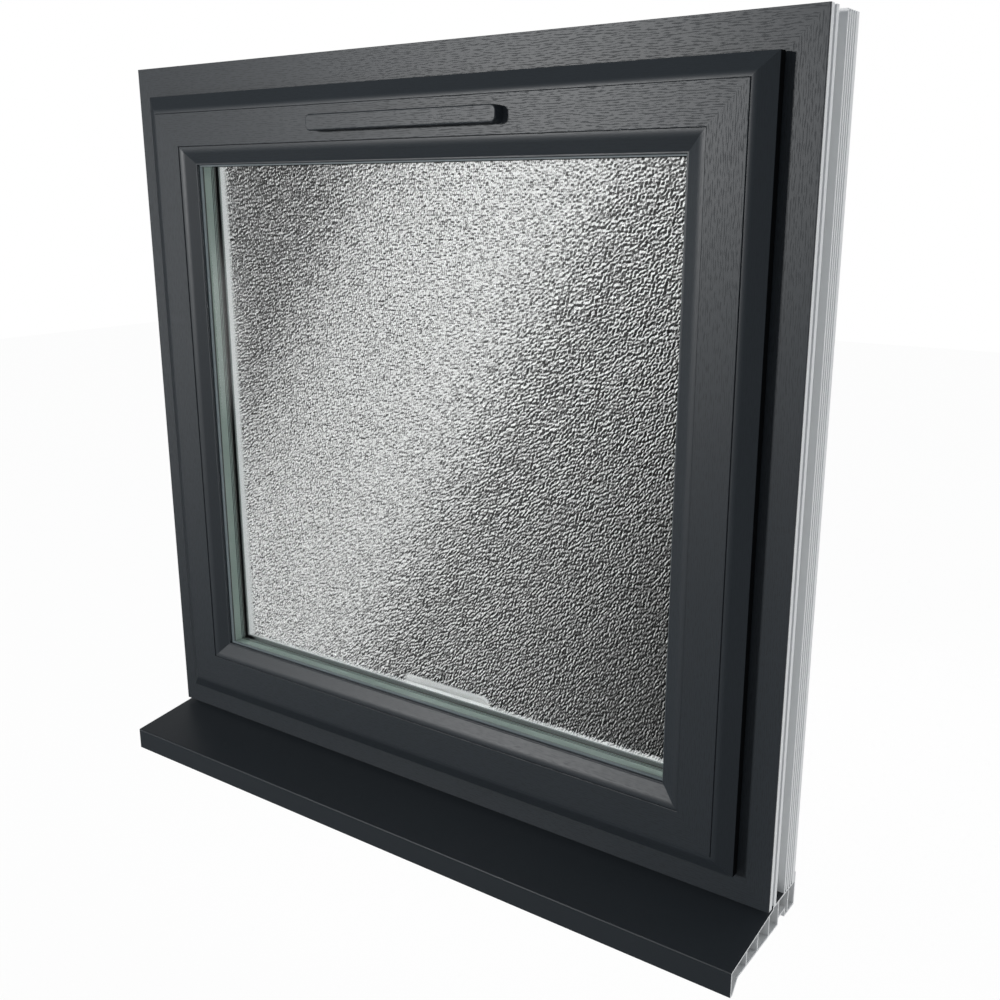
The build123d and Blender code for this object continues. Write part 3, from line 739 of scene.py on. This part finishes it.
# World: white to the eye, and an even cool light on the object
AMBIENT = (0.265, 0.288, 0.315)
world = bpy.data.worlds.new("studio")
bpy.context.scene.world = world
world.use_nodes = True
world.cycles.sampling_method = "NONE"
world.node_tree.nodes.clear()
sky_nodes = Nodes(world.node_tree)
tone = sky_nodes.mix(sky_nodes.looked_at(), AMBIENT, (1.0, 1.0, 1.0))
sky = sky_nodes.add("ShaderNodeBackground", {"Color": tone, "Strength": 1.0})
sky_nodes.add("ShaderNodeOutputWorld", {"Surface": sky.outputs[0]})

# What gloss and glass see, in metres: a dim room with a softbox, and a band of light behind the window
ROOM_SHELL, WALL_SHELL = 9.0, 8.5
ROOM_LEVEL, ROOM_NEAR, ROOM_FAR = 0.03, 2.0, 7.0
SOFTBOX_TOWARD = (-0.830, -0.556, -0.0435)
SOFTBOX_WIDE, SOFTBOX_LEVEL = 9.0, 5.0
BAND_POINT = (0.795, -0.962, 0.730)
BAND_ACROSS = (0.7260, 0.5034, -0.4685)
BAND_WIDE, BAND_LIGHT, BAND_DARK, BAND_TOP = 0.98, 2.45, 0.009, 0.91


def glow_material(name):
    material, n = new_material(name, (0.3, 0.3, 0.3))
    return material, n, n.place()


def finish_glow(n, level):
    finish_material(n, n.add("ShaderNodeEmission", {"Color": (1, 1, 1, 1), "Strength": level}))


def dim_room():
    """White behind the window and a dim room with a softbox before it, for gloss to show."""
    material, n, place = glow_material("room_in_reflections")
    share = n.map_range(n.axes(place)[1], ROOM_NEAR, ROOM_FAR, ROOM_LEVEL, 1.0, "SMOOTHSTEP")
    near = n.vector("DOT_PRODUCT", place, SOFTBOX_TOWARD)
    edge = ROOM_SHELL * math.cos(math.radians(SOFTBOX_WIDE))
    box = n.map_range(near, edge, ROOM_SHELL, 0.0, SOFTBOX_LEVEL, "SMOOTHSTEP")
    finish_glow(n, n.math("ADD", share, box))
    return material


def band_behind():
    """A soft slanting band of light on a dim wall, for the pressed glass to bend."""
    material, n, place = glow_material("wall_through_glass")
    off = n.vector("DOT_PRODUCT", n.vector("SUBTRACT", place, BAND_POINT), BAND_ACROSS)
    fall = n.math("EXPONENT", n.math("DIVIDE", n.math("ABSOLUTE", off), -BAND_WIDE))
    finish_glow(n, n.math("MINIMUM", n.math("MULTIPLY_ADD", fall, BAND_LIGHT, BAND_DARK), BAND_TOP))
    return material


def studio_shell(name, radius, material, seen_by):
    """A shell round the set that only one kind of ray sees, like the flags and cards of a studio."""
    work = bmesh.new()
    bmesh.ops.create_uvsphere(work, u_segments=64, v_segments=32, radius=radius)
    mesh = bpy.data.meshes.new(name)
    work.to_mesh(mesh)
    work.free()
    mesh.materials.append(material)
    obj = bpy.data.objects.new(name, mesh)
    bpy.context.scene.collection.objects.link(obj)
    for ray in ("camera", "diffuse", "glossy", "transmission", "volume_scatter", "shadow"):
        setattr(obj, "visible_" + ray, ray == seen_by)
    return obj


studio_shell("room_shell", ROOM_SHELL, dim_room(), "glossy")
studio_shell("wall_shell", WALL_SHELL, band_behind(), "transmission")

# Lamps, in metres and watts: each has its place, what it points at, its size and its power
KEY = (-1.60, -3.06, 1.18), (0.1, 0.0, 0.6), (0.42, 0.28), 68.0
FILL = (2.2, 2.0, 0.5), (0.3, 0.0, 0.4), (1.2, 1.2), 27.0
ROOM_LAMP = (0.15, 1.2, 0.75), (-0.32, 0.03, 0.45), (0.6, 0.6), 8.0


def area_light(name, place, target, size, power, unseen_by=()):
    data = bpy.data.lights.new(name, "AREA")
    data.shape = "RECTANGLE"
    data.size, data.size_y = size
    data.energy = power
    obj = bpy.data.objects.new(name, data)
    obj.location = place
    direction = Vector(target) - Vector(place)
    obj.rotation_euler = direction.to_track_quat("-Z", "Y").to_euler()
    bpy.context.scene.collection.objects.link(obj)
    for ray in unseen_by:
        setattr(obj, "visible_" + ray, False)


area_light("key", *KEY)
area_light("room_fill", *FILL, ("glossy",))
area_light("room_lamp", *ROOM_LAMP, ("camera", "glossy", "transmission"))

# Camera at the photograph's viewing angle: its place in metres and its three axes
CAMERA_PLACE = (0.7949127, -0.96166025, 0.73033041)
CAMERA_RIGHT = (0.81531001, 0.57902041, -0.00222328)
CAMERA_UP = (-0.14988562, 0.21475743, 0.96509769)
CAMERA_BACK = (0.55928873, -0.78652057, 0.26188072)
LENS, SENSOR, NEAREST = 40.6707, 36.0, 0.01

camera_data = bpy.data.cameras.new("camera")
camera_data.sensor_width = SENSOR
camera_data.lens = LENS
camera_data.clip_start = NEAREST
camera = bpy.data.objects.new("camera", camera_data)
bpy.context.scene.collection.objects.link(camera)
axes = Matrix((CAMERA_RIGHT, CAMERA_UP, CAMERA_BACK)).transposed().to_4x4()
camera.matrix_world = Matrix.Translation(CAMERA_PLACE) @ axes
bpy.context.scene.camera = camera
bpy.context.scene.view_settings.view_transform = "Standard"
